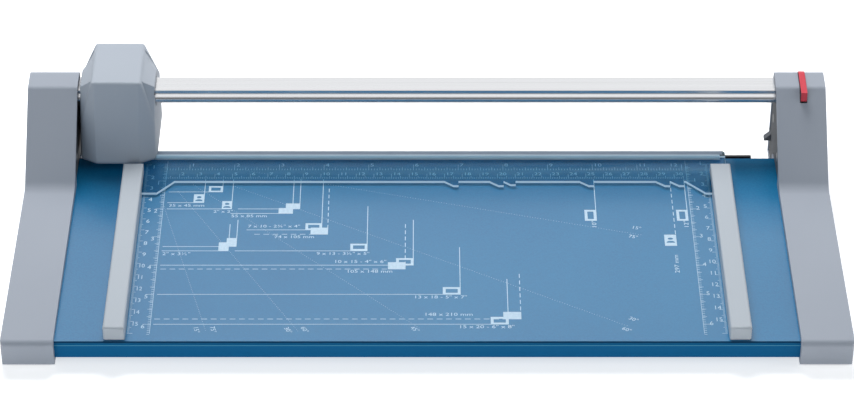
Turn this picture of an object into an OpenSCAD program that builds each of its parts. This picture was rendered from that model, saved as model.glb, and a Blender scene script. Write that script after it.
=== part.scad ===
// Personal rotary paper trimmer: folded steel table between two moulded end caps,
// aluminium rail over the cutting edge, and a cutting head with a round blade.
// X runs along the cut, Y from the front to the back, Z up from the floor.
// Places along Y are counted from the cut line and moved into the frame by at_cut().

/* [Table] */
// Longest cut, between the two stops
cut_len = 320; // [280:1:460]
// Table beside each stop, out to the end cap
table_side = 37.5; // [32:0.5:60]
// Table depth from the front fold to the cut line
table_depth = 168; // [140:1:300]
// Height of the table above the floor
table_top = 14; // [13.5:0.5:20]
// Thickness of the sheet
sheet_t = 1.2; // [0.8:0.1:1.6]
// Inner radius of the folds
fold_r = 0.6; // [0.3:0.1:1.2]
// Height of the front fold
front_fold_h = 9.8; // [6:0.2:11]
// Height of the rear fold, which carries the cutting bar
rear_fold_h = 10.5; // [10:0.1:12]

/* [End caps] */
// Width of an end cap
cap_w = 27.9; // [26:0.1:36]
// How far the caps stand in front of the table
cap_front = 3.8; // [3:0.1:8]
// How far the caps reach behind the cut line
cap_rear = 23.5; // [23:0.1:30]
// Wall of the mouldings
cap_wall = 1.8; // [1.4:0.1:2.2]
// Top of the arms above the table at the front
arm_up = 3; // [2.5:0.1:8]
// Top of the arms above the table at the foot of the towers
arm_rear_up = 4.4; // [3:0.1:9]
// Foot of the tower in front of the cut line
tower_foot = 38.5; // [34:0.5:60]
// Depth of the tower's top
tower_deep = 16.7; // [15:0.1:18]
// Top of the tower above the rail, at the back
tower_over = 4; // [3.6:0.1:8]

/* [Rail and cutting bar] */
// Depth of the rail from its round front bead to its back
rail_d = 15.8; // [15:0.1:16.4]
// Height of the rail
rail_h = 8.6; // [8:0.1:10]
// Underside of the rail above the table
rail_gap = 31; // [30.5:0.5:36]
// Thickness of the cutting bar
bar_t = 1.8; // [1.4:0.1:2.4]
// Height of the cutting bar
bar_h = 12.4; // [11:0.1:13]
// How far the bar's ground edge stands above the table
bar_proud = 0.1; // [0.1:0.1:0.5]

/* [Clamp strip and stops] */
// Thickness of the clear strip
strip_t = 1.4; // [1:0.1:1.6]
// Gap for the paper under the raised strip
paper_gap = 0.8; // [0.5:0.1:1]
// Front edge of the strip in front of the cut line
strip_d = 27.6; // [25:0.2:32]
// Height of the stops
stop_h = 9; // [7:0.2:12]
// Width of the stops
stop_w = 11.4; // [11:0.1:14]

/* [Cutting head] */
// Width of the head
head_w = 44; // [43:0.5:50]
// How far the head reaches behind the rail
head_behind = 16.4; // [15.6:0.2:20]
// Front of the head's foot before the cut line
head_front = 13.2; // [13:0.1:16]
// Top of the head above the rail
head_over = 9.9; // [9.5:0.1:14]
// Radius of the round blade
blade_r = 14; // [13:0.2:14.6]
// Thickness of the blade
blade_t = 1.2; // [0.8:0.1:1.4]
// Radius of the press rollers
roller_r = 3.5; // [3:0.1:3.8]

/* [Release key] */
// Width of the red key
key_w = 3.5; // [3:0.1:4.5]
// Length of the key
key_l = 20.9; // [20:0.1:20.9]

/* [Hidden] */

// Overrun of a cut
over = 1;
// Fixed seat
seat = 0.05;
// Running fit on a pin, on the radius
run = 0.06;
// Fit of the slide bushes on the rail
slide_fit = 0.12;
// Free space between two pieces
part_gap = 0.3;

// Facets of round faces, and steps of a fillet
$fn = 40;
fillet_n = 8;
rail_n = 12;

// Screws: shank, head and thickness of the head
screw_r = 1.45;
screw_head_r = 2.7;
screw_head_h = 1.2;

// Main places along X, Y and Z
half_w = cut_len / 2 + table_side;
cap_out = half_w + cap_w;
front_y = -table_depth - cap_front;
rail_back = cap_rear - cap_wall - part_gap;
rail_front = rail_back - rail_d;
rail_z = table_top + rail_gap;
rail_top = rail_z + rail_h;
head_rear = rail_back + head_behind;
cut_y = -(front_y + head_rear) / 2;

// Table sheet: tongues into the caps, and the rear fold in front of the bar
bend_r = fold_r + sheet_t;
tongue = 8;
tongue_mid_share = 0.69;
tongue_mid = half_w + tongue_mid_share * tongue;
table_rear = -bar_t;
table_screw_shares = [0.83, 0.36];
table_screw_y = [for (k = table_screw_shares) -k * table_depth];

// End caps: outline seen from the side, low arm in front and tower behind
foot_proud = 0.8;
cap_lean = 1;
break_drop = 1;
cap_edge_r = 1.5;
tower_top_r = 4;
tower_foot_r = 12;
arm_front_r = 3;
cap_plan_r = 2.5;
cap_inner_r = 0.6;
tower_h = rail_top + tower_over;
tower_break = cap_rear - tower_deep;
cap_points = [
    [front_y + cap_lean, foot_proud], [cap_rear, foot_proud], [cap_rear, tower_h],
    [tower_break, tower_h - break_drop], [-tower_foot, table_top + arm_rear_up],
    [front_y, table_top + arm_up]
];
cap_radii = [cap_edge_r, cap_edge_r, tower_top_r, tower_top_r, tower_foot_r, arm_front_r];
cap_plan = [[half_w, front_y], [cap_out, front_y], [cap_out, cap_rear], [half_w, cap_rear]];
cap_plan_radii = [cap_inner_r, cap_plan_r, cap_plan_r, cap_inner_r];
slope = (tower_h - break_drop - table_top - arm_rear_up) / (tower_break + tower_foot);
wall_in = half_w + cap_wall;
wall_out = cap_out - cap_wall;

// Inner plates, sunk into the caps' inner faces
plate_t = 2.4;
plate_recess = 0.6;
plate_rim = 2.6;
plate_front = 28;
plate_low = 0.8;
plate_step = 1.5;
plate_foot = 2;
plate_clear = 0.1;
plate_face = half_w + plate_recess;
plate_back = plate_face + plate_t;
plate_screw_share = 0.6;
plate_screw_up = [9, 16];
plate_screw_places = [
    [-plate_front / 2, table_top + plate_screw_up[0]], [cap_rear * plate_screw_share, table_top + plate_screw_up[1]]
];
plate_screw_l = 11;
boss_r = 3.2;

// Short nose low on the right inner plate
nose_out = 3.9;
nose_w = 4;
nose_back = 3.5;
nose_h = 4.6;
nose_drop = 1.3;
nose_tip = 1.2;

// Ledges under the table's tongues, shelves under the rail, posts over the feet
ledge_t = 3;
ledge_gap = 0.15;
ledge_shares = [0.9, 0.12];
shelf_t = 3;
shelf_in = 0.4;
foot_r = 5;
foot_sink = 1.2;
foot_in = 12;
foot_post_h = 9;
foot_wall = 2;
foot_rib_t = 2.4;
foot_x = (wall_in + wall_out) / 2 + foot_wall;
foot_y = [front_y + foot_in, cap_rear - foot_in];

// Rail: flat top, a step down, then a round bead along the front
bead_share = 0.442;
bead_r = rail_h * bead_share;
bead_c = [rail_front + bead_r, rail_z + bead_r];
rail_lip = 1.8;
rail_wall = 1.5;
rail_tail = 7;
rail_end = half_w + rail_tail;
plug_l = 4.5;
tenon_l = 10;
plug_screw_x = rail_end + plug_l / 2;
plug_screw_share = 0.47;
plug_screw_y = rail_back - rail_d * plug_screw_share;
plug_screw_l = 5;
tongue_l = 5.1;
tongue_h = 2;

// Red key, its pivot in the tower, and the hook that holds the plug's tongue
ear_t = 1.4;
ear_gap = 0.25;
key_x = rail_end + plug_l + ear_gap + ear_t + part_gap + key_w / 2;
pivot_r = 1;
pivot_in = 4.4;
pivot_drop = 0.3;
pivot = [rail_back - pivot_in, rail_top - pivot_drop];
ear_r = 2.6;
key_boss_r = 2.4;
key_rear_share = 0.7;
key_rear = rail_back - key_rear_share * part_gap;
key_nose = key_rear - key_l;
key_proud = 0.6;
key_t = 4.4;
key_fall = 1;
key_thin = 0.5;
nose_bevel = 2.4;
nose_bevel_l = 5.2;
hook_t = 2.3;
hook_nose_share = 0.8;
hook_in = 0.8;
hook_gap = 0.2;
hook_lip = 1.2;
key_spring_r = 1.6;
key_spring_wire = 0.35;
key_spring_turns = 7;
key_spring_y = rail_front + key_spring_r + shelf_in + part_gap;

// Cutting bar and its screws
bar_end = 25.2;
bar_screw_drop = 6.5;
bar_screw_z = table_top - bar_screw_drop;
bar_screw_l = 1.9;
bar_screw_shares = [-0.9, -0.3, 0.3, 0.9];
bar_screw_x = [for (k = bar_screw_shares) k * cut_len / 2];

// Stops, their pegs and screws
stop_x = cut_len / 2;
stop_mid = stop_x + stop_w / 2;
stop_rear = 19.5;
stop_in = 2;
stop_front = table_depth - stop_in;
stop_edge_r = 1.4;
peg_in = 3.3;
peg_x = stop_x + peg_in;
peg_y = -30;
peg_r = 1.3;
peg_clear = 0.5;
strip_reach = 6.6;
strip_end = stop_x + strip_reach;
tab_out = 11;
tab_d = strip_d + tab_out;
recess_over = 1.4;
recess_h = paper_gap + strip_t + recess_over;
recess_room = 0.9;
stop_screw_l = 5;

// Clamp strip: height, rear rib, and the marks at which its front edge steps back
strip_z = table_top + paper_gap;
rib_h = 2.6;
rib_front = 5.3;
rib_back = 0.6;
strip_corner_r = 2;
tab_ramp_left = [8.3, 17.7];
tab_ramp_right = [14, 3.4];
tooth_ramp = 5.2;
tooth_flat = 2.8;
tooth_d = 4;
tooth_marks = [177.8, 203.2, 210, 254, 297, 305];

// Clamp springs, their cups below the table, and the ear that holds a cup
spring_out = 2.8;
spring_wire = 0.5;
spring_turns = 6;
cup_bottom = 4.2;
cup_floor = 1.2;
cup_wall = 1.2;
cup_gap = 0.4;
cup_bore = spring_out + cup_gap;
cup_r = cup_bore + cup_wall;
ear_l = 14;
ear_plate_t = 2;
cup_screw_y = peg_y - ear_l;
stop_screw_shares = [0.92, 0.55];
stop_screw_y = concat([for (k = stop_screw_shares) -k * stop_front], [cup_screw_y]);

// Cutting head: half width of the front face, cheeks, rear corners, shoulder and crown
head_side_gap = 0.5;
head_x = -(half_w - head_side_gap - head_w / 2);
head_gap = 3.7;
head_z = table_top + head_gap;
head_top = rail_top + head_over;
head_round = 2.2;
head_wall = 2.5;
space_r = 0.8;
face_half = 11.6;
cheek_in = 0.8;
cheek_deep = 3.6;
rear_corner = 4.2;
knee_in = 0.9;
knee_in_front = 9.6;
knee_y = -head_front + knee_in_front;
knee_drop = 6.3;
rim_behind = 6.4;
rim_y = rail_front + rim_behind;
rim_over = 2.4;
shoulder_up = 4.2;
shoulder_rise = 1.6;
crown_half = 14.5;
crown_in = 5.3;
crown_rise = 2.9;
// Thumb dents between the crown, the knee and the rim over the rail
dent_shares = [0.35, 0.4, 0.25];
dent_r = 8;
dent_depth = 1.5;
dent_ball = (dent_r ^ 2 + dent_depth ^ 2) / (2 * dent_depth);
space_half = head_w / 2 - head_wall - dent_depth;
head_clear = 1;
seam_behind = 10.6;
head_seam = rail_back + seam_behind;

// Carrier behind the blade and around the rail, with its slide bushes
carrier_half = 11;
carrier_wall = 3.2;
carrier_over = 3.1;
carrier_under = 7;
carrier_behind = 4.6;
carrier_back = rail_back + carrier_behind;
carrier_top = rail_top + carrier_over;
leg_half = 9;
leg_up = 5;
liner_t = 1.5;
liner_l = 6.5;
pad_half = 6;
pocket_half = 13.5;
pad_in = 5;
head_screw_l = 7;
head_screw_sink = 1.4;
head_screw_drops = [3.6, 11];
head_screw_in = 2;
head_screw_places = [
    for (s = [-1, 1]) [s * (carrier_half - boss_r - part_gap), rail_z - head_screw_drops[0]],
    for (s = [-1, 1]) [s * (leg_half - head_screw_in), rail_z - head_screw_drops[1]]
];

// Round blade on its hub, axle, nut and spring
blade_low = 2.5;
blade_z = table_top - blade_low + blade_r;
edge_w = 1;
axle_r = 2;
axle_head_r = 4.2;
axle_head_t = 2.4;
hub_r = 4.9;
hub_front = 1;
flange_r = 7.5;
flange_t = 1.4;
flange_back = seat + blade_t + flange_t;
spring_seat = 8;
nut_r = 3.6;
nut_t = 3;
axle_tail = 0.6;
blade_spring_r = 4.5;
blade_spring_wire = 0.8;
blade_spring_turns = 3;

// Press rollers on the strip's rib
roller_in = 9;
roller_x = head_w / 2 - roller_in;
roller_w = 3.6;
roller_back = -1.3;
roller_front = roller_back - roller_w;
roller_z = strip_z + rib_h + run + roller_r;
pin_r = 1;
pin_head_r = 1.8;
pin_head_t = 0.5;
pin_gap = 0.1;
pin_l = 4.6;
roller_boss_r = 2.4;
roller_boss_l = 5.3;

// Arc around c from angle a0 to a1, in n steps
function arc(c, r, a0, a1, n) =
    [for (i = [0:n]) let (a = a0 + (a1 - a0) * i / n) c + r * [cos(a), sin(a)]];

// Unit direction from a to b, and the left normal of v
function dir(a, b) = (b - a) / norm(b - a);
function left(v) = [-v[1], v[0]];

// Crossing of the lines p + s * u and q + t * v
function cross_at(p, u, q, v) =
    let (s = ((q - p)[0] * v[1] - (q - p)[1] * v[0]) / (u[0] * v[1] - u[1] * v[0])) p + s * u;

// Outline moved inwards by d; its points run counter-clockwise
function inset(pts, d) = let (n = len(pts)) [
    for (i = [0:n - 1]) let (
        b = pts[i], u = dir(pts[(i + n - 1) % n], b), v = dir(b, pts[(i + 1) % n])
    ) abs(u[0] * v[1] - u[1] * v[0]) < 0.001
        ? b + d * left(v)
        : cross_at(b + d * left(u), u, b + d * left(v), v)
];

// Outline with each corner rounded by its own radius
function rounded(pts, radii) = let (n = len(pts)) [
    for (i = [0:n - 1]) let (
        b = pts[i], u = dir(pts[(i + n - 1) % n], b), v = dir(b, pts[(i + 1) % n]),
        r = radii[i], side = u[0] * v[1] - u[1] * v[0] > 0 ? 1 : -1,
        c = cross_at(b + side * r * left(u), u, b + side * r * left(v), v),
        a0 = atan2(-side * left(u)[1], -side * left(u)[0]),
        a1 = atan2(-side * left(v)[1], -side * left(v)[0]),
        sweep = side * (((side * (a1 - a0)) % 360 + 360) % 360)
    ) each (r > 0 ? arc(c, r, a0, a0 + sweep, fillet_n) : [b])
];

// Height of the tower's front slope at y
function slope_z(y) = table_top + arm_rear_up + (y + tower_foot) * slope;

// Section of the folded sheet, grown by d on all sides
function sheet_points(d) = let (
    y0 = -table_depth + bend_r, y1 = table_rear - bend_r, zc = table_top - bend_r,
    ro = bend_r + d, ri = fold_r - d, z0 = table_top - front_fold_h - d, z1 = table_top - rear_fold_h - d
) concat(
    [[y0 - ro, z0], [y0 - ri, z0]], arc([y0, zc], ri, 180, 90, fillet_n),
    arc([y1, zc], ri, 90, 0, fillet_n), [[y1 + ri, z1], [y1 + ro, z1]],
    arc([y1, zc], ro, 0, 90, fillet_n), arc([y0, zc], ro, 90, 180, fillet_n)
);

// Section of the rail, and its plain outline for what goes round it
function rail_outline(a0) = concat(
    [[rail_back, rail_z], [rail_back, rail_top], [rail_front + rail_lip, rail_top]],
    arc(bead_c, bead_r, a0, 270, rail_n)
);
rail_points = rail_outline(acos((rail_lip - bead_r) / bead_r));
sleeve_points = rail_outline(150);
rail_hollow = [
    [bead_c[0] + 2 * rail_wall, rail_z + rail_wall], [rail_back - rail_wall, rail_z + rail_wall],
    [rail_back - rail_wall, rail_top - rail_wall], [bead_c[0] + 2 * rail_wall, rail_top - rail_wall]
];

// Hollow of a cap, open at the bottom
cavity_points = [
    for (p = inset(cap_points, cap_wall)) [p[0], p[1] < table_top / 2 ? -over : p[1]]
];
cavity_radii = [
    0, 0, tower_top_r - cap_wall, tower_top_r - cap_wall, tower_foot_r + cap_wall, arm_front_r - cap_wall
];

// Outline of an inner plate: beside the tower, round the table's rear edge, and below the rail
function under_slope(y) = slope_z(y) - plate_rim * sqrt(1 + slope ^ 2);
plate_points = [
    [-plate_front, table_top + plate_low], [plate_step, table_top + plate_low],
    [plate_step, foot_proud + plate_foot], [cap_rear - plate_rim, foot_proud + plate_foot],
    [cap_rear - plate_rim, rail_z - part_gap], [rail_front - part_gap, rail_z - part_gap],
    [rail_front - part_gap, under_slope(rail_front - part_gap)],
    [-plate_front, under_slope(-plate_front)]
];

// Moves a piece from the cut line's coordinates into the frame
module at_cut() translate([0, cut_y, 0]) children();
module at_head() at_cut() translate([head_x, 0, 0]) children();

// Outline drawn out along X or Y
module along_x(x0, x1) translate([x0, 0, 0]) rotate([90, 0, 90]) linear_extrude(x1 - x0) children();
module along_y(y0, y1) translate([0, y1, 0]) rotate([90, 0, 0]) linear_extrude(y1 - y0) children();

// Round bar along X, Y or Z
module rod_x(x0, x1, y, z, r) translate([x0, y, z]) rotate([0, 90, 0]) cylinder(h = x1 - x0, r = r);
module rod_y(x, y0, y1, z, r) translate([x, y0, z]) rotate([-90, 0, 0]) cylinder(h = y1 - y0, r = r);
module rod_z(x, y, z0, z1, r) translate([x, y, z0]) cylinder(h = z1 - z0, r = r);

// Block between two corners
module block(a, b) translate(a) cube(b - a);

// Coil spring along Z as one unbroken tube from z0 to z1
module coil(z0, z1, r, wire, turns) {
    sides = 6;
    rings = 8;
    last = turns * rings;
    wr = wire / 2;
    function centre(i) = let (a = 360 * i / rings)
        [(r - wr) * cos(a), (r - wr) * sin(a), z0 + wr + (z1 - z0 - wire) * i / last];
    pts = [
        for (i = [0:last], k = [0:sides - 1])
            let (a = 360 * i / rings, b = 360 * k / sides, q = r - wr + wr * cos(b))
                [q * cos(a), q * sin(a), centre(i)[2] + wr * sin(b)]
    ];
    gap = min([
        for (i = [0:last], j = [0:last]) if (j - i >= rings / 2) norm(centre(j) - centre(i)) - wire
    ]);
    echo("least gap between the turns of this coil", gap);
    ends = [[for (k = [sides - 1:-1:0]) k], [for (k = [0:sides - 1]) last * sides + k]];
    walls = [
        for (i = [0:last - 1], k = [0:sides - 1])
            let (a = i * sides + k, b = i * sides + (k + 1) % sides)
                each [[a, b, a + sides], [b, b + sides, a + sides]]
    ];
    polyhedron(pts, concat(ends, walls), convexity = 10);
}

// Screw that stands up from z, with its head below
module screw_up(x, y, z, l) {
    rod_z(x, y, z - screw_head_h, z, screw_head_r);
    rod_z(x, y, z, z + l, screw_r);
}

// Hole through the table
module sheet_hole(x, y, r) rod_z(x, y, table_top - sheet_t - over, table_top + over, r);

module table_plate() color("#3f7fae") at_cut() difference() {
    along_x(-half_w - tongue, half_w + tongue) polygon(sheet_points(0));
    for (s = [-1, 1]) {
        sheet_hole(s * peg_x, peg_y, cup_bore);
        for (y = stop_screw_y) sheet_hole(s * stop_mid, y, screw_r + seat);
        for (y = table_screw_y) sheet_hole(s * tongue_mid, y, screw_r + seat);
    }
    for (x = bar_screw_x)
        rod_y(x, table_rear - sheet_t - over, table_rear + over, bar_screw_z, screw_r + seat);
}

// Hollow moulding of a cap
module cap_shell() difference() {
    intersection() {
        along_x(half_w, cap_out) polygon(rounded(cap_points, cap_radii));
        linear_extrude(tower_h + over) polygon(rounded(cap_plan, cap_plan_radii));
    }
    along_x(wall_in, wall_out) polygon(rounded(cavity_points, cavity_radii));
}

// Ledge, rail shelf, foot posts and screw bosses inside a cap
module cap_inside() {
    z = table_top - sheet_t - ledge_gap;
    block([half_w + cap_wall / 2, -ledge_shares[0] * table_depth, z - ledge_t],
        [half_w + tongue + foot_wall, -ledge_shares[1] * table_depth, z]);
    block([plate_back, rail_front + shelf_in, rail_z - shelf_t],
        [cap_out - cap_wall / 2, cap_rear - cap_wall / 2, rail_z]);
    for (y = foot_y) {
        rod_z(foot_x, y, foot_proud, foot_proud + foot_post_h, foot_r + foot_wall);
        block([foot_x, y - foot_rib_t / 2, foot_proud],
            [cap_out - cap_wall / 2, y + foot_rib_t / 2, foot_proud + foot_post_h]);
    }
    for (p = plate_screw_places) rod_x(plate_back, cap_out - cap_wall / 2, p[0], p[1], boss_r);
}

// Openings of a cap: plate, sheet, rail, feet and screws
module cap_cuts() {
    along_x(half_w - over, plate_back) polygon(inset(plate_points, -plate_clear));
    along_x(half_w - over, wall_in + over) polygon(sheet_points(plate_clear));
    block([half_w - over, -plate_front - plate_clear, table_top],
        [wall_in + over, plate_step, table_top + plate_low]);
    along_x(half_w - over, wall_in + over) polygon(inset(sleeve_points, -part_gap));
    block([half_w - over, rail_front - part_gap, rail_z - part_gap], [wall_in + over, bead_c[0], bead_c[1]]);
    for (y = foot_y) rod_z(foot_x, y, foot_proud - over, foot_proud + foot_sink, foot_r + seat);
    for (y = table_screw_y)
        rod_z(tongue_mid, y, table_top - sheet_t - 2 * ledge_t, table_top, screw_r + seat);
    for (p = plate_screw_places)
        rod_x(half_w, plate_face + plate_screw_l + over, p[0], p[1], screw_r + seat);
}

module left_end_cap() color("#b4bcc8") at_cut() mirror([1, 0, 0]) difference() {
    union() {
        cap_shell();
        cap_inside();
    }
    cap_cuts();
    rod_z(plug_screw_x, plug_screw_y, rail_z - shelf_t - over, rail_z + over, screw_r + seat);
}

// The right cap also has the key's slot and the two ears of its pivot
module right_end_cap() color("#b4bcc8") at_cut() {
    slot = key_w / 2 + part_gap;
    difference() {
        union() {
            cap_shell();
            cap_inside();
            for (x = [key_x - slot - ear_t, key_x + slot]) {
                rod_x(x, x + ear_t, pivot[0], pivot[1], ear_r);
                along_x(x, x + ear_t) polygon([
                    [pivot[0], pivot[1] - ear_r], [cap_rear - cap_wall / 2, pivot[1] - ear_r],
                    [cap_rear - cap_wall / 2, tower_h - cap_wall / 2 - tower_top_r / 2],
                    [cap_rear - tower_top_r, tower_h - cap_wall / 2],
                    [pivot[0] - ear_r, tower_h - cap_wall], [pivot[0] - ear_r, pivot[1]]
                ]);
            }
        }
        cap_cuts();
        block([key_x - slot, key_nose - 2 * part_gap, rail_z + tongue_h],
            [key_x + slot, rail_back + part_gap / 2, tower_h + over]);
        rod_x(key_x - slot - ear_t - over, key_x + slot + ear_t + over, pivot[0], pivot[1], pivot_r + seat);
    }
}

// Plate on the inner side of a tower, with countersunk screws
module inner_plate() difference() {
    along_x(plate_face, plate_back) polygon(plate_points);
    for (p = plate_screw_places) {
        rod_x(half_w, plate_back + over, p[0], p[1], screw_r + seat);
        rod_x(half_w, plate_face + screw_head_h + seat, p[0], p[1], screw_head_r + seat);
    }
}
module left_inner_plate() color("#5e6068") at_cut() mirror([1, 0, 0]) inner_plate();
module right_inner_plate() color("#5e6068") at_cut() {
    y1 = cap_rear - nose_back;
    z0 = table_top - nose_drop;
    inner_plate();
    along_y(y1 - nose_w, y1) polygon([
        [plate_face - nose_out, z0], [plate_face + plate_t / 2, z0], [plate_face + plate_t / 2, z0 + nose_h],
        [plate_face, z0 + nose_h], [plate_face - nose_out, z0 + nose_tip]
    ]);
}

module plate_screws() color("#9aa0a6") at_cut() for (s = [0, 1]) mirror([s, 0, 0])
    for (p = plate_screw_places) {
        rod_x(plate_face + seat, plate_face + screw_head_h, p[0], p[1], screw_head_r);
        rod_x(plate_face + screw_head_h, plate_face + plate_screw_l, p[0], p[1], screw_r);
    }

module table_screws() color("#9aa0a6") at_cut() for (s = [-1, 1], y = table_screw_y)
    screw_up(s * tongue_mid, y, table_top - sheet_t - ledge_gap - ledge_t, ledge_t + ledge_gap + sheet_t / 2);

module feet() color("#2b2d2f") at_cut() for (s = [-1, 1], y = foot_y)
    rod_z(s * foot_x, y, 0, foot_proud + foot_sink, foot_r);

module guide_rail() color("#d8dade") at_cut() difference() {
    along_x(-rail_end, rail_end) polygon(rail_points);
    along_x(-rail_end - over, rail_end + over) polygon(rail_hollow);
}

// Plug of the rail: a flange outside its end and a tenon in its hollow
module rail_plug() {
    along_x(rail_end, rail_end + plug_l) polygon(sleeve_points);
    along_x(rail_end - tenon_l, rail_end) polygon(inset(rail_hollow, seat));
}
module left_rail_plug() color("#3a3d40") at_cut() mirror([1, 0, 0]) difference() {
    rail_plug();
    rod_z(plug_screw_x, plug_screw_y, rail_z - over, rail_z + plug_screw_l, screw_r + seat);
}

// The right plug has a tongue that the key's hook holds down
tongue_back = pivot[0] - 2 * hook_gap;
module right_rail_plug() color("#3a3d40") at_cut() {
    rail_plug();
    block([rail_end + plug_l, tongue_back - tongue_l, rail_z],
        [key_x + key_w / 2, tongue_back, rail_z + tongue_h]);
}

module rail_screw() color("#9aa0a6") at_cut() mirror([1, 0, 0])
    screw_up(plug_screw_x, plug_screw_y, rail_z - shelf_t, shelf_t + plug_screw_l - over);

// Red key: bar in the tower's slot, pivot boss, and hook over the plug's tongue
module rail_latch() color("#d04555") at_cut() difference() {
    top = tower_h + key_proud;
    low = top - key_t;
    along_x(key_x - key_w / 2, key_x + key_w / 2) union() {
        polygon([
            [key_nose, low - nose_bevel], [key_nose + nose_bevel_l, low], [key_rear, low], [key_rear, top - key_thin],
            [key_rear - hook_t, top], [key_nose, top - key_fall]
        ]);
        translate(pivot) circle(key_boss_r);
        polygon([
            [tongue_back - hook_in, rail_z + tongue_h + hook_gap],
            [tongue_back + hook_t - hook_gap, rail_z + tongue_h + hook_gap],
            [tongue_back + hook_t, pivot[1] + key_boss_r / 2], [tongue_back, pivot[1] + key_boss_r / 2],
            [tongue_back, rail_z + tongue_h + hook_gap + hook_t * hook_nose_share],
            [tongue_back - hook_in, rail_z + tongue_h + hook_gap + hook_lip]
        ]);
    }
    rod_x(key_x - key_w, key_x + key_w, pivot[0], pivot[1], pivot_r + run);
}

module latch_pin() color("#9aa0a6") at_cut() rod_x(key_x - key_w / 2 - part_gap - ear_t,
    key_x + key_w / 2 + part_gap + ear_t, pivot[0], pivot[1], pivot_r);

module latch_spring() color("#c9ccd0") at_cut() translate([key_x, key_spring_y, 0])
    coil(rail_z, tower_h + key_proud - key_t, key_spring_r, key_spring_wire, key_spring_turns);

module cutting_bar() color("#4a4e54") at_cut() difference() {
    block([-stop_x - bar_end, -bar_t, table_top + bar_proud - bar_h],
        [stop_x + bar_end, 0, table_top + bar_proud]);
    for (x = bar_screw_x) rod_y(x, -bar_t - over, over, bar_screw_z, screw_r + seat);
}

module bar_screws() color("#9aa0a6") at_cut() for (x = bar_screw_x) {
    rod_y(x, 0, screw_head_h, bar_screw_z, screw_head_r);
    rod_y(x, -bar_t - sheet_t - bar_screw_l, 0, bar_screw_z, screw_r);
}

// Front edge of the strip: tabs at both ends, and a tooth before each mark
marks = [for (m = tooth_marks) if (m < cut_len - tab_ramp_right[0]) m - stop_x];
function tooth(i) = let (
    x = marks[i], start = x - tooth_flat - tooth_ramp,
    from = i > 0 && marks[i - 1] > start ? marks[i - 1] : start,
    deep = tooth_d * (x - tooth_flat - from) / tooth_ramp
) [
    if (i == 0 || marks[i - 1] < from) [from, -strip_d],
    [x - tooth_flat, -strip_d - deep], [x, -strip_d - deep], [x, -strip_d]
];
front_edge = concat(
    [[-strip_end, -tab_d], [-stop_x + tab_ramp_left[0], -tab_d], [-stop_x + tab_ramp_left[1], -strip_d]],
    [for (i = [0:len(marks) - 1]) each tooth(i)],
    [[stop_x - tab_ramp_right[0], -strip_d], [stop_x - tab_ramp_right[1], -tab_d], [strip_end, -tab_d]]
);
strip_points = concat(
    front_edge,
    arc([strip_end - strip_corner_r, -rib_back - strip_corner_r], strip_corner_r, 0, 90, fillet_n),
    arc([-strip_end + strip_corner_r, -rib_back - strip_corner_r], strip_corner_r, 90, 180, fillet_n)
);

module clamp_strip() color("#cfe3ee", 0.5) at_cut() difference() {
    union() {
        translate([0, 0, strip_z]) linear_extrude(strip_t) polygon(strip_points);
        translate([0, 0, strip_z]) linear_extrude(rib_h) intersection() {
            polygon(strip_points);
            translate([-strip_end, -rib_front]) square([2 * strip_end, rib_front]);
        }
    }
    for (s = [-1, 1]) rod_z(s * peg_x, peg_y, strip_z - over, strip_z + rib_h, peg_r + peg_clear);
}

// Stop beside the scale: rounded bar whose rear end bridges the strip's tab
module stop() difference() {
    union() {
        difference() {
            intersection() {
                along_y(-stop_front, -stop_rear) polygon(rounded([
                    [stop_x, table_top], [stop_x + stop_w, table_top],
                    [stop_x + stop_w, table_top + stop_h], [stop_x, table_top + stop_h]
                ], [0, 0, stop_edge_r, stop_edge_r]));
                along_x(stop_x - over, stop_x + stop_w + over) polygon(rounded([
                    [-stop_front, table_top], [-stop_rear, table_top],
                    [-stop_rear, table_top + stop_h], [-stop_front, table_top + stop_h]
                ], [0, 0, stop_edge_r, stop_edge_r]));
            }
            block([stop_x - over, -tab_d - recess_room, table_top - over],
                [strip_end + peg_clear, 0, table_top + recess_h]);
        }
        rod_z(peg_x, peg_y, cup_bottom + 2 * cup_floor, table_top + recess_h + over, peg_r);
    }
    for (y = stop_screw_y) rod_z(stop_mid, y, table_top - over, table_top + stop_screw_l, screw_r + seat);
}
module left_stop() color("#bcc4ce") at_cut() mirror([1, 0, 0]) stop();
module right_stop() color("#bcc4ce") at_cut() stop();

module stop_screws() color("#9aa0a6") at_cut() for (s = [-1, 1], y = stop_screw_y) {
    t = sheet_t + (y == cup_screw_y ? ear_plate_t : 0);
    screw_up(s * stop_mid, y, table_top - t, t + stop_screw_l - over);
}

// Cup that holds a clamp spring below the table, on an ear under the stop's last screw
module spring_cup() difference() {
    z1 = table_top - sheet_t;
    union() {
        rod_z(peg_x, peg_y, cup_bottom, z1, cup_r);
        rod_z(stop_mid, cup_screw_y, z1 - ear_plate_t, z1, cup_r);
        block([stop_mid - cup_r, cup_screw_y, z1 - ear_plate_t], [stop_mid + cup_r, peg_y, z1]);
    }
    rod_z(peg_x, peg_y, cup_bottom + cup_floor, z1 + over, cup_bore);
    rod_z(stop_mid, cup_screw_y, z1 - ear_plate_t - over, z1 + over, screw_r + seat);
}
module left_spring_cup() color("#3a3d40") at_cut() mirror([1, 0, 0]) spring_cup();
module right_spring_cup() color("#3a3d40") at_cut() spring_cup();

module clamp_spring() translate([peg_x, peg_y, 0])
    coil(cup_bottom + cup_floor, strip_z, spring_out, spring_wire, spring_turns);
module left_clamp_spring() color("#c9ccd0") at_cut() mirror([1, 0, 0]) clamp_spring();
module right_clamp_spring() color("#c9ccd0") at_cut() clamp_spring();

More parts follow.
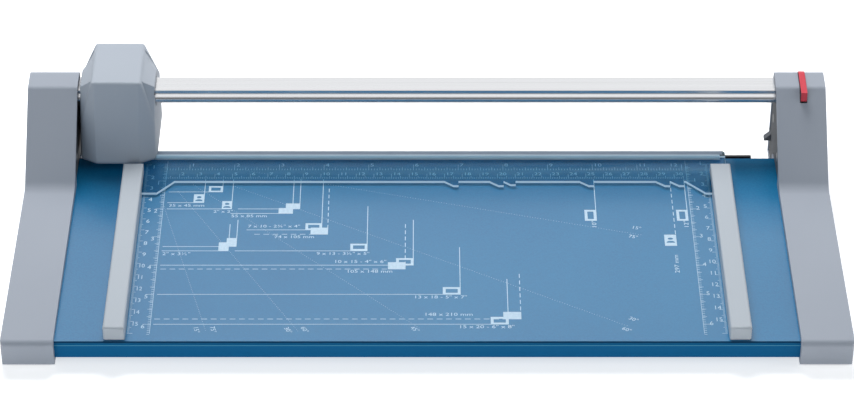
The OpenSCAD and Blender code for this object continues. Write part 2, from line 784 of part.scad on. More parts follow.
// Corners of the right half of the head, set in by d from its faces; the lowest lie at lo
function head_corners(d, lo) = let (
    w = head_w / 2 - d, f = -head_front + d, b = head_rear - d, hi = head_top - d
) [
    [face_half, f, lo], [w - cheek_in, f + cheek_deep, lo], [w, f + 2 * cheek_deep, lo],
    [w, b - rear_corner, lo], [w - rear_corner, b, lo], [w - knee_in, knee_y + d, rail_z - knee_drop],
    [w, rim_y, rail_top + rim_over - d], [w, b - rear_corner, rail_z + shoulder_up],
    [w - rear_corner, b, rail_z + shoulder_up + shoulder_rise],
    [crown_half - d, rail_front - crown_in + d, hi], [crown_half - d, b, hi + crown_rise]
];

// Deepest point of a thumb dent on the flat facet, and the way that the facet faces
dent_knee = [head_w / 2 - knee_in, knee_y, rail_z - knee_drop];
dent_rim = [head_w / 2, rim_y, rail_top + rim_over];
dent_crown = [crown_half, rail_front - crown_in, head_top];
dent_at = dent_shares[0] * dent_knee + dent_shares[1] * dent_rim + dent_shares[2] * dent_crown;
dent_out = cross(dent_rim - dent_knee, dent_crown - dent_knee);

// Faceted shell of the head with rounded edges
module head_form() hull() for (p = head_corners(head_round, head_z + head_round), s = [-1, 1])
    translate([s * p[0], p[1], p[2]]) sphere(head_round, $fn = 20);

// Space inside the head, open at the bottom
module head_space() hull() for (p = head_corners(head_wall + space_r, table_top), s = [-1, 1])
    translate([s * min(p[0], space_half - space_r), p[1], p[2]]) sphere(space_r, $fn = 14);

module rail_pass() along_x(-head_w, head_w) polygon(inset(sleeve_points, -head_clear));

module head_cover() color("#adb5c1") at_head() difference() {
    union() {
        difference() {
            head_form();
            head_space();
        }
        intersection() {
            head_form();
            block([-pad_half, rail_front, carrier_top], [pad_half, carrier_back - pad_in, head_top + crown_rise]);
        }
        for (s = [-1, 1])
            rod_y(s * roller_x, roller_front - pin_gap - roller_boss_l, roller_front - pin_gap,
                roller_z, roller_boss_r);
    }
    rail_pass();
    // Thumb dents, and the holes of the rollers' pins
    for (s = [0, 1]) mirror([s, 0, 0])
        translate(dent_at + (dent_ball - dent_depth) * dent_out / norm(dent_out))
            sphere(dent_ball, $fn = 96);
    for (s = [-1, 1])
        rod_y(s * roller_x, roller_front - pin_l - pin_gap, 0, roller_z, pin_r + seat);
    block([-head_w, head_seam, 0], [head_w, head_rear + over, head_top + crown_rise + over]);
}

module head_back() color("#adb5c1") at_head() difference() {
    union() {
        difference() {
            head_form();
            block([-head_w, -head_front - over, 0], [head_w, head_seam, head_top + crown_rise + over]);
            block([-pocket_half, -head_front, 0], [pocket_half, head_rear - head_wall, carrier_top]);
        }
        for (p = head_screw_places) rod_y(p[0], carrier_back, head_rear - head_wall / 2, p[1], boss_r);
    }
    for (p = head_screw_places) {
        rod_y(p[0], carrier_back - over, head_rear + over, p[1], screw_r + seat);
        rod_y(p[0], head_rear - screw_head_h - head_screw_sink, head_rear + over, p[1], screw_head_r + seat);
    }
}

module head_screws() color("#9aa0a6") at_head() for (p = head_screw_places) {
    y = head_rear - head_screw_sink;
    rod_y(p[0], y - screw_head_h, y, p[1], screw_head_r);
    rod_y(p[0], carrier_back - head_screw_l, y - screw_head_h, p[1], screw_r);
}

module head_carrier() color("#44484d") at_head() difference() {
    union() {
        block([-carrier_half, rail_front - carrier_wall, rail_z - carrier_under],
            [carrier_half, carrier_back, carrier_top]);
        block([-leg_half, spring_seat, table_top + leg_up], [leg_half, carrier_back, rail_z - carrier_under]);
    }
    rail_pass();
    for (s = [0, 1]) mirror([s, 0, 0]) along_x(carrier_half - liner_l, carrier_half + over)
        polygon(inset(sleeve_points, -slide_fit - liner_t));
    rod_y(0, spring_seat - over, carrier_back + over, blade_z, axle_r + seat);
    for (p = head_screw_places)
        rod_y(p[0], carrier_back - head_screw_l - over, carrier_back + over, p[1], screw_r + seat);
}

// Slide bush around the rail, in one end of the carrier
module liner() difference() {
    along_x(carrier_half - liner_l, carrier_half) polygon(inset(sleeve_points, -slide_fit - liner_t));
    along_x(carrier_half - liner_l - over, carrier_half + over) polygon(inset(sleeve_points, -slide_fit));
}
module left_liner() color("#e7e6df") at_head() mirror([1, 0, 0]) liner();
module right_liner() color("#e7e6df") at_head() liner();

// Round blade: flat on the side of the bar, ground to its edge behind
module blade() color("#c3c7cc") at_head() difference() {
    translate([0, seat, blade_z]) rotate([-90, 0, 0])
        cylinder(h = blade_t, r1 = blade_r, r2 = blade_r - edge_w, $fn = 72);
    rod_y(0, -over, blade_t + over, blade_z, hub_r + seat);
}

module blade_hub() color("#b08d4e") at_head() difference() {
    union() {
        rod_y(0, -hub_front, seat + blade_t, blade_z, hub_r);
        rod_y(0, seat + blade_t, flange_back, blade_z, flange_r);
    }
    rod_y(0, -hub_front - over, flange_back + over, blade_z, axle_r + run);
}

module blade_axle() color("#9aa0a6") at_head() {
    rod_y(0, -hub_front - run - axle_head_t, -hub_front - run, blade_z, axle_head_r);
    rod_y(0, -hub_front - run, carrier_back + nut_t + axle_tail, blade_z, axle_r);
}

module axle_nut() color("#9aa0a6") at_head() difference() {
    translate([0, carrier_back, blade_z]) rotate([-90, 0, 0]) cylinder(h = nut_t, r = nut_r, $fn = 6);
    rod_y(0, carrier_back - over, carrier_back + nut_t + over, blade_z, axle_r + seat);
}

module blade_spring() color("#c9ccd0") at_head() translate([0, 0, blade_z]) rotate([-90, 0, 0])
    coil(flange_back + run, spring_seat, blade_spring_r, blade_spring_wire, blade_spring_turns);

module roller(s) difference() {
    rod_y(s * roller_x, roller_front, roller_back, roller_z, roller_r);
    rod_y(s * roller_x, roller_front - over, roller_back + over, roller_z, pin_r + run);
}
module left_roller() color("#2f3235") at_head() roller(-1);
module right_roller() color("#2f3235") at_head() roller(1);

module roller_pins() color("#9aa0a6") at_head() for (s = [-1, 1]) {
    rod_y(s * roller_x, roller_front - pin_l, roller_back + pin_gap, roller_z, pin_r);
    rod_y(s * roller_x, roller_back + pin_gap, roller_back + pin_gap + pin_head_t, roller_z, pin_head_r);
}

table_plate();
left_end_cap();
right_end_cap();
left_inner_plate();
right_inner_plate();
plate_screws();
table_screws();
feet();
guide_rail();
left_rail_plug();
right_rail_plug();
rail_screw();
rail_latch();
latch_pin();
latch_spring();
cutting_bar();
bar_screws();
clamp_strip();
left_stop();
right_stop();
stop_screws();
left_spring_cup();
right_spring_cup();
left_clamp_spring();
right_clamp_spring();
head_cover();
head_back();
head_screws();
head_carrier();
left_liner();
right_liner();
blade();
blade_hub();
blade_axle();
axle_nut();
blade_spring();
left_roller();
right_roller();
roller_pins();
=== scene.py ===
import itertools
import math
import bpy
import bmesh
from mathutils import Matrix, Vector


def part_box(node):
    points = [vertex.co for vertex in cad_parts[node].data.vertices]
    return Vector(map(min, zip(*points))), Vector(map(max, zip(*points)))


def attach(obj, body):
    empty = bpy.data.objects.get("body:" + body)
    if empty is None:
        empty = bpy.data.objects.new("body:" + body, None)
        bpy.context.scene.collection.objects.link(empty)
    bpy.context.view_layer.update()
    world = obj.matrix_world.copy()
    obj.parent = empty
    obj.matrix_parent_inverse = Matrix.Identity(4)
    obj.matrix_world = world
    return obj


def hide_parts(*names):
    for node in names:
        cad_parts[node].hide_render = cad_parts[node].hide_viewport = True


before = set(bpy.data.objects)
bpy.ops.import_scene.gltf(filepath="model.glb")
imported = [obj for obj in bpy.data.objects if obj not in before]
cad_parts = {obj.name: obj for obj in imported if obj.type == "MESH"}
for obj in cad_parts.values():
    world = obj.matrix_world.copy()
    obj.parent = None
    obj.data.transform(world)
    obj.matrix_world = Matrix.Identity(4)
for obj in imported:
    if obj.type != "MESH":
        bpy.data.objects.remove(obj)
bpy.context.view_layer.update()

# Camera. A long lens looks down on the trimmer from in front, a hair to the left of its middle.
# Its place, its turn and its length are those at which the printed rulers fall on their ticks.
photo_wide_px, lens_px, sensor_mm = 854, 3091.6, 36
eye = Vector((-0.00382, -1.35956, 1.05722))
yaw, pitch, roll = math.radians(0.159), math.radians(37.10), math.radians(-0.095)
ahead = Vector((math.sin(yaw) * math.cos(pitch), math.cos(yaw) * math.cos(pitch), -math.sin(pitch)))
level = Vector((math.cos(yaw), -math.sin(yaw), 0))
plumb = ahead.cross(level)
right = level * math.cos(roll) + plumb * math.sin(roll)
down = plumb * math.cos(roll) - level * math.sin(roll)
camera = bpy.data.objects.new("camera", bpy.data.cameras.new("camera"))
camera.data.sensor_width = sensor_mm
camera.data.lens = lens_px * sensor_mm / photo_wide_px
camera.data.clip_end = 20
camera.matrix_world = Matrix.Translation(eye) @ Matrix((right, -down, -ahead)).transposed().to_4x4()
bpy.context.collection.objects.link(camera)
bpy.context.scene.camera = camera

# Surround. A white room round the trimmer. It fills the picture, the metal mirrors it bright above
# and behind and dim in front, and little light falls from it, a touch cool.
fill, fill_tint, plain_white = 0.25, (0.90, 1.0, 1.08, 1), (1, 1, 1, 1)
dim_wall, bright_wall = 0.16, 1.0
dim_from, bright_from = -0.45, 0.15
bpy.context.scene.view_settings.view_transform = "Standard"


def feed(part, feeds):
    for key, value in feeds.items():
        if isinstance(value, bpy.types.NodeSocket):
            part.id_data.links.new(value, part.inputs[key])
        else:
            part.inputs[key].default_value = value


def wired(tree, kind, feeds=(), out=0, **settings):
    made = tree.nodes.new(kind)
    for key, value in settings.items():
        setattr(made, key, value)
    feed(made, dict(feeds))
    return made.outputs if out is None else made.outputs[out]


def maths(tree, how, *values):
    return wired(tree, "ShaderNodeMath", enumerate(values), operation=how)


def split(tree, vector):
    return wired(tree, "ShaderNodeSeparateXYZ", {"Vector": vector}, None)


def spread(tree, value, low, high, start=0.0, end=1.0):
    return wired(tree, "ShaderNodeMapRange", {
        "Value": value, "From Min": start, "From Max": end, "To Min": low, "To Max": high,
    }, "Result")


def blended(tree, factor, under, over):
    return wired(tree, "ShaderNodeMix", {0: factor, 6: under, 7: over}, 2, data_type="RGBA")


def ray(tree, kind):
    return wired(tree, "ShaderNodeLightPath", (), kind)


sky = bpy.data.worlds.new("surround")
sky.use_nodes = True
tree = sky.node_tree
_, back, up = split(tree, wired(tree, "ShaderNodeTexCoord", (), "Generated"))
room = spread(tree, maths(tree, "ADD", back, up), dim_wall, bright_wall, dim_from, bright_from)
looked_at = maths(tree, "MAXIMUM", ray(tree, "Is Camera Ray"), ray(tree, "Is Glossy Ray"))
looked_at = maths(tree, "MAXIMUM", looked_at, ray(tree, "Is Transmission Ray"))
walls = wired(tree, "ShaderNodeMix", {0: ray(tree, "Is Glossy Ray"), 2: 1.0, 3: room})
feed(tree.nodes["Background"], {
    "Color": blended(tree, looked_at, fill_tint, plain_white),
    "Strength": wired(tree, "ShaderNodeMix", {0: looked_at, 2: fill, 3: walls}),
})
bpy.context.scene.world = sky

# Floor. A matt pale board under the trimmer. It glows a little towards the camera, so that it runs
# into the white surround and still shows the shadow, and what mirrors it finds it dark.
board_white, board_mirrored = (0.9, 0.9, 0.9, 1), (0.02, 0.02, 0.02, 1)
board_glow, board_glow_seen = 0.45, 0.60
board_half, board_z, board_rough = 6, -0.0002, 0.9


def new_finish(name):
    made = bpy.data.materials.new(name)
    made.use_nodes = True
    return made, made.node_tree, made.node_tree.nodes["Principled BSDF"]


board, tree, base = new_finish("studio_floor")
feed(base, {
    "Base Color": blended(tree, ray(tree, "Is Glossy Ray"), board_white, board_mirrored),
    "Roughness": board_rough, "Specular IOR Level": 0, "Emission Color": plain_white,
    "Emission Strength": spread(tree, ray(tree, "Is Camera Ray"), board_glow, board_glow_seen),
})
floor_mesh = bpy.data.meshes.new("studio_floor")
floor_mesh.from_pydata([(x * board_half, y * board_half, board_z) for x, y in ((-1, -1), (1, -1), (1, 1), (-1, 1))],
                       [], [(0, 1, 2, 3)])
floor_mesh.materials.append(board)
studio_floor = bpy.data.objects.new("studio_floor", floor_mesh)
bpy.context.collection.objects.link(studio_floor)

# Lamps. Two broad soft ones above and behind the trimmer, a weak one on the right and a weak cool
# one in front on the left. Neither the metal nor the clear strip mirrors them.
lamp_white, lamp_cool = (1, 1, 1), (0.88, 1.0, 1.10)
for name, place, aim_z, size, power, colour in (
    ("rear_lamp", (-0.2, 1.3, 1.4), 0, 1.3, 23, lamp_white),
    ("overhead_lamp", (-0.05, 1.05, 1.45), 0, 0.7, 14, lamp_white),
    ("side_lamp", (1.8, -0.3, 0.9), 0.03, 1.0, 4.4, lamp_white),
    ("front_lamp", (-0.9, -1.7, 0.5), 0.03, 1.0, 4.6, lamp_cool),
):
    lamp = bpy.data.lights.new(name, "AREA")
    lamp.shape = "DISK"
    lamp.size = size
    lamp.energy = power
    lamp.color = colour
    holder = bpy.data.objects.new(name, lamp)
    holder.location = place
    holder.rotation_euler = (Vector((0, 0, aim_z)) - Vector(place)).to_track_quat("-Z", "Y").to_euler()
    holder.visible_glossy = False
    holder.visible_transmission = False
    bpy.context.collection.objects.link(holder)

# Table. Sheet steel about a millimetre thick, folded down at the front and at the back, and powder
# coated blue after it is bent. The coat has a fine orange peel and a low sheen. Painted light lies on it
# too: the front fold is a darker blue with less sheen, painted shade; the brow of each bend carries a
# dark line, painted reflection; a pale line low on the front fold is a painted highlight; and the rear
# corners beside the caps lose their sheen, painted shade.
coat_dark, coat_pale = (0.002, 0.129, 0.296), (0.008, 0.180, 0.372)
# The three blues of the folds: painted shade on the front fold, a painted dark reflection on each bend's brow, and a
# painted highlight low on the front fold.
fold_shade_blue, brow_reflection_blue, foot_highlight_blue = (0.0, 0.120, 0.290), (0.001, 0.045, 0.110), (0.07, 0.28, 0.42)
cloud_scale, cloud_share = 9, 0.45
peel_scale, peel_share, peel_deep = 1100, 0.55, 0.00006
coat_rough, coat_shine, dull_and_shaded_shine = (0.30, 0.46), 0.6, 0.1
gloss_rough, gloss_ior = 0.2, 1.52
# Where the painted light lies: the front fold and each bend's brow by the way they face, the highlight by its height
# on the fold, and the shaded rear corners by their place.
fold_shade_normal_y, brow_reflection_normal_z = (-0.3, -0.9), (0.72, 0.99)
foot_highlight_z, corner_shade_x, corner_shade_y = (0.01195, 0.0124), (0.158, 0.176), (-0.008, 0.050)


def noise(tree, scale, detail=3):
    return wired(tree, "ShaderNodeTexNoise", {
        "Scale": scale, "Detail": detail, "Vector": wired(tree, "ShaderNodeTexCoord", (), "Object"),
    }, "Fac")


def two_tone(tree, factor, dark, pale):
    made = wired(tree, "ShaderNodeValToRGB", {"Fac": factor}, "Color")
    for stop, position, colour in zip(made.node.color_ramp.elements, (0.3, 0.7), (dark, pale)):
        stop.position = position
        stop.color = (*colour, 1)
    return made


def dimpled(tree, factor, depth, strength=1.0):
    return wired(tree, "ShaderNodeBump", {"Distance": depth, "Strength": strength, "Height": factor}, "Normal")


def between(tree, value, low, high):
    return maths(tree, "COMPARE", value, (low + high) / 2, (high - low) / 2)


def dress(made, *names):
    for name in names:
        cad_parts[name].data.materials.clear()
        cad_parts[name].data.materials.append(made)


powder_coat, tree, base = new_finish("blue_powder_coat")
cloud = noise(tree, cloud_scale)
peel = noise(tree, peel_scale, 2)
_, facing_y, facing_z = split(tree, wired(tree, "ShaderNodeNewGeometry", (), "True Normal"))
spot_x, spot_y, spot_z = split(tree, wired(tree, "ShaderNodeTexCoord", (), "Object"))
# Masks of painted light: front fold, painted shade; bend brows, painted dark reflection; a band low on the front fold,
# painted highlight; rear corners beside the caps, painted shade.
fold = spread(tree, facing_y, 0.0, 1.0, *fold_shade_normal_y)
brow = between(tree, facing_z, *brow_reflection_normal_z)
foot = maths(tree, "MULTIPLY", between(tree, spot_z, *foot_highlight_z), fold)
corner = maths(tree, "MULTIPLY", spread(tree, maths(tree, "ABSOLUTE", spot_x), 0.0, 1.0, *corner_shade_x),
               spread(tree, spot_y, 0.0, 1.0, *corner_shade_y))
# The sheen is taken down under the fold, brow and corner masks: painted shade in the fold and the corners, painted
# dark reflection on the brows.
dull_and_shaded = maths(tree, "MAXIMUM", maths(tree, "MAXIMUM", fold, brow), corner)
mottle = maths(tree, "MULTIPLY_ADD", cloud, cloud_share, spread(tree, peel, 0.0, peel_share))
coat = two_tone(tree, mottle, coat_dark, coat_pale)
# Painted shade on the fold, painted dark reflection on the brows, painted highlight at the foot of the fold.
for mask, blue in ((fold, fold_shade_blue), (brow, brow_reflection_blue), (foot, foot_highlight_blue)):
    coat = blended(tree, mask, coat, (*blue, 1))
feed(base, {
    "Base Color": coat, "Roughness": spread(tree, peel, *coat_rough), "Normal": dimpled(tree, peel, peel_deep),
    "Specular IOR Level": spread(tree, dull_and_shaded, coat_shine, dull_and_shaded_shine),
    "Coat Weight": spread(tree, dull_and_shaded, 1.0, 0.0), "Coat Roughness": gloss_rough, "Coat IOR": gloss_ior,
})
dress(powder_coat, "table_plate")

# Ruler ticks. White screen print, a few hundredths of a millimetre thick, on the blue coat. Each
# row of like ticks is one row of bars: millimetres, half and whole centimetres, and sixteenths,
# quarters and whole inches, along the cut and beside both stops.
cut_y, scale_x = 0.067, -0.160
print_z, print_t = 0.014012, 0.00002
ink_dark, ink_pale, ink_scale, ink_rough = (0.47, 0.62, 0.75), (0.58, 0.72, 0.84), 900, 0.5
inch = 25.4
cm_low, inch_low, tick_w = -23.2, -15.1, 0.26
spine_near, spine_far, spine_w = -6, -160.2, 0.22
white_ink, tree, base = new_finish("white_print")
feed(base, {"Base Color": two_tone(tree, noise(tree, ink_scale), ink_dark, ink_pale), "Roughness": ink_rough})
row_tree = bpy.data.node_groups.new("row_of_bars", "GeometryNodeTree")
row_tree.interface.new_socket("Geometry", in_out="INPUT", socket_type="NodeSocketGeometry")
row_tree.interface.new_socket("Geometry", in_out="OUTPUT", socket_type="NodeSocketGeometry")
keys = {}
for name, kind, value in (
    ("First", "NodeSocketVector", (0, 0, 0)), ("Step", "NodeSocketVector", (0.001, 0, 0)),
    ("Count", "NodeSocketInt", 10), ("Bar", "NodeSocketVector", (0.0003, 0.0015, print_t)),
    ("Ink", "NodeSocketMaterial", None),
):
    made = row_tree.interface.new_socket(name, in_out="INPUT", socket_type=kind)
    made.default_value = value
    keys[name] = made.identifier
given, result = row_tree.nodes.new("NodeGroupInput"), row_tree.nodes.new("NodeGroupOutput")
line = wired(row_tree, "GeometryNodeMeshLine", {
    "Start Location": given.outputs["First"], "Offset": given.outputs["Step"], "Count": given.outputs["Count"],
}, "Mesh", mode="OFFSET")
bar = wired(row_tree, "GeometryNodeMeshCube", {"Size": given.outputs["Bar"]}, "Mesh")
bars = wired(row_tree, "GeometryNodeInstanceOnPoints", {"Points": line, "Instance": bar}, "Instances")
bars = wired(row_tree, "GeometryNodeRealizeInstances", {"Geometry": bars}, "Geometry")
bars = wired(row_tree, "GeometryNodeSetMaterial", {"Geometry": bars, "Material": given.outputs["Ink"]}, "Geometry")
feed(result, {"Geometry": bars})
# Each row lies a hair higher than the last, so that no two tops share a plane
rises = itertools.cycle([*(n * 2e-7 for n in range(1, 40)), 0.0])


def plain_mesh(holder):
    return bpy.data.meshes.new_from_object(holder.evaluated_get(bpy.context.evaluated_depsgraph_get()))


def row(first, step, count, width, length):
    holder = bpy.data.objects.new("row", bpy.data.meshes.new("row"))
    bpy.context.collection.objects.link(holder)
    bars = holder.modifiers.new("row of bars", "NODES")
    bars.node_group = row_tree
    bars[keys["First"]] = (scale_x + first[0] / 1000, cut_y + first[1] / 1000, print_z + next(rises))
    bars[keys["Step"]] = (step[0] / 1000, step[1] / 1000, 0.0)
    bars[keys["Count"]] = count
    bars[keys["Bar"]] = (width / 1000, length / 1000, print_t)
    bars[keys["Ink"]] = white_ink
    mesh = plain_mesh(holder)
    bpy.data.objects.remove(holder)
    return mesh


def printed(name, meshes, ink):
    sheet = bmesh.new()
    for part in meshes:
        sheet.from_mesh(part)
    mesh = bpy.data.meshes.new(name)
    sheet.to_mesh(mesh)
    sheet.free()
    mesh.materials.append(ink)
    piece = bpy.data.objects.new(name, mesh)
    bpy.context.collection.objects.link(piece)
    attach(piece, "base")


ticks = []
for first, step, count, length in ((11, 1, 294, 1.4), (15, 5, 59, 2.6), (20, 10, 29, 4.6)):
    ticks.append(row((first, cm_low + length / 2), (step, 0), count, tick_w, length))
for first, step, count, length in ((0.5, 1 / 16, 184, 1.5), (0.5, 1 / 4, 47, 2.6), (1, 1, 12, 5.4)):
    ticks.append(row((first * inch, inch_low + length / 2), (step * inch, 0), count, tick_w, length))
for cm_edge, inch_edge, out in ((0.6, 12.6, 1), (319.4, 307.0, -1)):
    for first, step, count, length in ((10, 1, 151, 1.2), (15, 5, 30, 2.0), (10, 10, 16, 3.0)):
        ticks.append(row((cm_edge + out * length / 2, -first), (0, -step), count, length, tick_w))
    for first, step, count, length in ((0.4, 1 / 16, 96, 1.5), (0.5, 1 / 4, 23, 2.4), (1, 1, 6, 4.2)):
        ticks.append(row((inch_edge - out * length / 2, -first * inch), (0, -step * inch), count, length, tick_w))
    ticks.append(row((inch_edge, (spine_near + spine_far) / 2), (0, -1), 1, spine_w, spine_near - spine_far))
printed("ruler_ticks", ticks, white_ink)

# Figures. The same white print: the numbers of the rulers, the measures of the sheets beside their
# outlines, and the angles at the ends of their dotted lines.
em_per_height, cm_figure_up, inch_figure_up = 1.38, 4.4, 4.8
figure_right, last_inch_left = 0.7, -7.0
side_height, side_wide, side_narrow = 3.3, 0.95, 0.8


def lettering(text, x, y, height, turn=0.0, align="LEFT", wide=1.2):
    curve = bpy.data.curves.new("figure", "FONT")
    curve.body = text
    curve.size = height * em_per_height / 1000
    curve.align_x = align
    curve.align_y = "CENTER"
    curve.extrude = print_t / 2
    curve.resolution_u = 3
    holder = bpy.data.objects.new("figure", curve)
    bpy.context.collection.objects.link(holder)
    mesh = plain_mesh(holder)
    bpy.data.objects.remove(holder)
    mesh.transform(Matrix.Translation((scale_x + x / 1000, cut_y + y / 1000, print_z + print_t / 2))
                   @ Matrix.Rotation(math.radians(turn), 4, "Z") @ Matrix.Diagonal((wide, 1, 1, 1)))
    return mesh


figures = []
for n in range(2, 31):
    figures.append(lettering(str(n), n * 10 + figure_right, cm_low + cm_figure_up, 2.7))
for n in range(1, 13):
    beside_tick = figure_right if n < 12 else last_inch_left
    figures.append(lettering(str(n), n * inch + beside_tick, inch_low + inch_figure_up, 2.9))
for n in range(1, 16):
    left_x, left_wide = (5.0, side_wide) if n < 10 else (4.3, side_narrow)
    figures.append(lettering(str(n), left_x, -n * 10 - 2.2, side_height, align="CENTER", wide=left_wide))
    figures.append(lettering(str(n), 315.6, -n * 10 + 1.5, side_height, align="CENTER", wide=side_wide))
for n in range(1, 7):
    figures.append(lettering(str(n), 8.6, -n * inch - 2.0, side_height, align="CENTER", wide=side_wide))
    figures.append(lettering(str(n), 311.4, -n * inch + 0.7, side_height, align="CENTER", wide=side_wide))
for text, x, y, height in (
    ("35 x 45 mm", 15.5, -47.7, 2.5), ("2\" x 2\"", 40.8, -53.3, 2.4), ("55 x 85 mm", 50.9, -57.4, 2.5),
    ("7 x 10 - 2¾\" x 4\"", 60.6, -66.8, 2.5), ("74 x 105 mm", 75.6, -76.4, 2.5),
    ("2\" x 3½\"", 14.8, -91.6, 2.6), ("9 x 13 - 3½\" x 5\"", 99.3, -91.4, 2.5),
    ("10 x 15 - 4\" x 6\"", 109.0, -98.5, 2.6), ("105 x 148 mm", 116.0, -107.1, 2.6),
    ("13 x 18 - 5\" x 7\"", 152.7, -129.4, 2.6), ("148 x 210 mm", 158.2, -144.2, 2.7),
    ("15 x 20 - 6\" x 8\"", 176.6, -154.6, 2.7),
):
    figures.append(lettering(text, x, y, height))
for text, x, y in (("297 mm", 296.3, -108.4), ("10\"", 252.9, -68.2), ("12\"", 304.0, -68.2)):
    figures.append(lettering(text, x, y, 2.6, turn=90, wide=1.35))
for text, x, y, turn in (
    ("15°", 36.6, -154.4, -75), ("75°", 45.4, -154.2, -75), ("30°", 84.6, -155.0, -60),
    ("60°", 93.4, -154.6, -60), ("45°", 151.4, -154.8, -45), ("30°", 267.6, -147.0, -30),
    ("60°", 263.6, -155.6, -30), ("15°", 273.4, -67.6, -15), ("75°", 271.2, -75.6, -15),
):
    figures.append(lettering(text, x, y, 2.7, turn=turn, wide=1.05))
printed("ruler_figures", figures, white_ink)

# Outlines of common sheets. White printed lines, each across at its depth and down at its width,
# unbroken for the inch and photo sizes and dashed for the metric series.
line_w = 0.42
dash_across, pitch_across = 3.1, 5.02
dash_down, pitch_down = 3.4, 5.6
strip_edge_y = 24.0
outlines = []
for width, depth, from_x, from_y, dashed in (
    (35, 45, 14.9, 24.0, False), (45, 35, 14.9, 24.0, False), (50.8, 50.8, 14.9, 24.0, False),
    (88.9, 50.8, 54.6, 24.0, False), (85, 55, 50.7, 24.0, False), (50.8, 88.9, 14.6, 64.9, False),
    (55, 85, 14.9, 60.9, False), (101.6, 70, 60.3, 24.0, False), (105, 74, 64.6, 32.0, True),
    (127, 88.9, 54.7, 48.3, False), (152.4, 101.6, 14.7, 60.9, False), (148, 105, 14.7, 64.9, True),
    (177.8, 127, 14.7, 85.7, False), (210, 148, 14.4, 109.4, True), (203.2, 152.4, 14.4, 113.7, False),
):
    if dashed:
        outlines.append(row((from_x + dash_across / 2, -depth), (pitch_across, 0),
                            int((width - from_x) / pitch_across), dash_across, line_w))
        outlines.append(row((width, -from_y - dash_down / 2), (0, -pitch_down),
                            int((depth - from_y) / pitch_down), line_w, dash_down))
    else:
        outlines.append(row(((width + from_x) / 2, -depth), (1, 0), 1, width - from_x + line_w, line_w))
        outlines.append(row((width, -(depth + from_y) / 2), (0, 1), 1, line_w, depth - from_y))
for x, depth in ((254.2, 56), (305.2, 56)):
    outlines.append(row((x, -(strip_edge_y + depth) / 2), (0, 1), 1, line_w, depth - strip_edge_y))
outlines.append(row((297.3, -27.3), (0, -pitch_down), 9, line_w, dash_down))
printed("sheet_outlines", outlines, white_ink)

# Corner marks of the outlines. Small white printed fields, filled for the metric series and for
# portraits, and framed round a bare field for the rest. A frame starts one rise higher.
frame_share = 0.24
marks = []
for x1, y0, wide, deep, framed in (
    (127.2, -88.7, 9.4, 6.2, True), (148.2, -105.2, 9.6, 6.2, False), (152.6, -101.8, 9.6, 6.4, True),
    (178.0, -127.2, 9.6, 6.4, True), (210.2, -148.2, 9.6, 6.2, False), (203.4, -152.6, 9.6, 6.4, True),
    (101.8, -70.2, 9.2, 6.2, True), (105.2, -74.2, 9.6, 6.2, False), (35.2, -45.2, 6.0, 8.0, False),
    (45.2, -35.2, 8.0, 5.6, True), (51.0, -51.0, 5.6, 7.4, False), (89.1, -51.0, 8.0, 5.2, False),
    (85.2, -55.2, 8.0, 5.2, False), (51.0, -89.1, 5.6, 7.8, False), (55.2, -85.2, 5.6, 7.8, False),
    (254.4, -61.7, 6.6, 10.0, True), (305.4, -61.7, 6.4, 10.0, True), (297.5, -84.4, 6.6, 10.0, False),
):
    x0, y1, w = x1 - wide, y0 + deep, min(wide, deep) * frame_share
    fields = [(x0, y0, x1, y1)]
    if framed:
        next(rises)
        fields = [(x0, y0, x1, y0 + w), (x0, y1 - w, x1, y1),
                  (x0, y0 + w, x0 + w, y1 - w), (x1 - w, y0 + w, x1, y1 - w)]
    for a, b, c, d in fields:
        marks.append(row(((a + c) / 2, (b + d) / 2), (1, 0), 1, c - a, d - b))
printed("corner_marks", marks, white_ink)

# Sitters. Plain heads and shoulders in the portrait marks. The real print leaves them bare, so the
# coat shows there; here each is a thin field of the coat's own blue on the white.
sitter_t = 2.5 * print_t


def arc(centre, radius, start, end, steps):
    turns = [math.radians(start + (end - start) * k / steps) for k in range(steps + 1)]
    return [(centre[0] + radius * math.cos(turn), centre[1] + radius * math.sin(turn)) for turn in turns]


def field(outline, x, y, across, up):
    sheet = bmesh.new()
    rings = [[sheet.verts.new((scale_x + (x + across * u) / 1000, cut_y + (y + up * v) / 1000, z)) for u, v in outline]
             for z in (print_z, print_z + sitter_t)]
    sheet.faces.new(rings[0][::-1])
    sheet.faces.new(rings[1])
    for k in range(len(outline)):
        sheet.faces.new((rings[0][k - 1], rings[0][k], rings[1][k], rings[1][k - 1]))
    mesh = bpy.data.meshes.new("field")
    sheet.to_mesh(mesh)
    sheet.free()
    return mesh


sitters = []
for x, y, wide in ((32.2, -41.0, 5.0), (48.2, -47.2, 5.0), (294.2, -79.0, 5.6)):
    sitters.append(field(arc((0, 0), 1.0, 0, 360, 24)[:-1], x, y + 1.0, 0.26 * wide, 0.9))
    sitters.append(field(arc((0, 0), 1.0, 0, 180, 24), x, y - 2.6, 0.42 * wide, 1.6))
printed("mark_sitters", sitters, powder_coat)

# Angle lines. Rows of small printed dots that fan out over the table from the corner between the
# left stop and the cut, at every fifteen degrees.
dot_w, dot_step = 0.30, 1.5
dots = []
for angle, start, end in ((15, 60, 290), (30, 60, 310), (45, 40, 222), (60, 40, 184), (75, 40, 165)):
    c, s = math.cos(math.radians(angle)), math.sin(math.radians(angle))
    dots.append(row((start * c, -start * s), (dot_step * c, -dot_step * s), int((end - start) / dot_step),
                    dot_w, dot_w))
printed("angle_dots", dots, white_ink)

# End caps. Hollow mouldings in a cool grey plastic, a low arm that rises to a tower, pushed over
# the table's ends. The mould is spark eroded, which leaves a fine even grain.
cap_dark, cap_pale = (0.355, 0.384, 0.440), (0.375, 0.404, 0.460)
tone_scale, grain_scale, grain_deep, grain_share, grain_rough = 14, 2400, 0.00002, 0.6, 0.06


